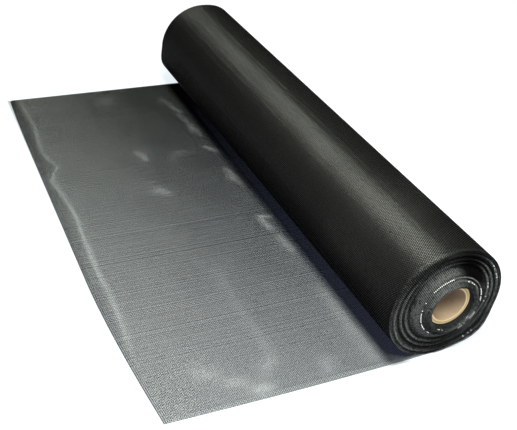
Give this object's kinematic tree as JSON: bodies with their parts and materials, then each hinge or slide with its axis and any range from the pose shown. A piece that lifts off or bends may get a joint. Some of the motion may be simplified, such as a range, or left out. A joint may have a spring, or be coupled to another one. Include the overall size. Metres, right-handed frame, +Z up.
{
  "type": "roll of insect screen",
  "caption": "Roll of black insect screen wound on a cardboard tube, lying down with its turns slipped out at one end and a loose end spread flat beside it.",
  "frame": {"origin": "middle of the flat spot under the roll, on the surface on which it lies", "axes": "+Y along the roll away from the end where the turns stand out, -X towards the free edge of the loose end, +Z up"},
  "size_m": [0.4928, 0.9335, 0.1715],
  "materials": {
    "wound_screen": "black coated yarn in a fine plain weave, slightly glossy",
    "loose_screen": "one layer of the same black screen, seen through",
    "cardboard": "plain tan spiral-wound cardboard, matt"
  },
  "bodies": {
    "root": {"screen_roll": "wound_screen", "loose_end": "loose_screen", "core_tube": "cardboard"}
  },
  "joints": []
}
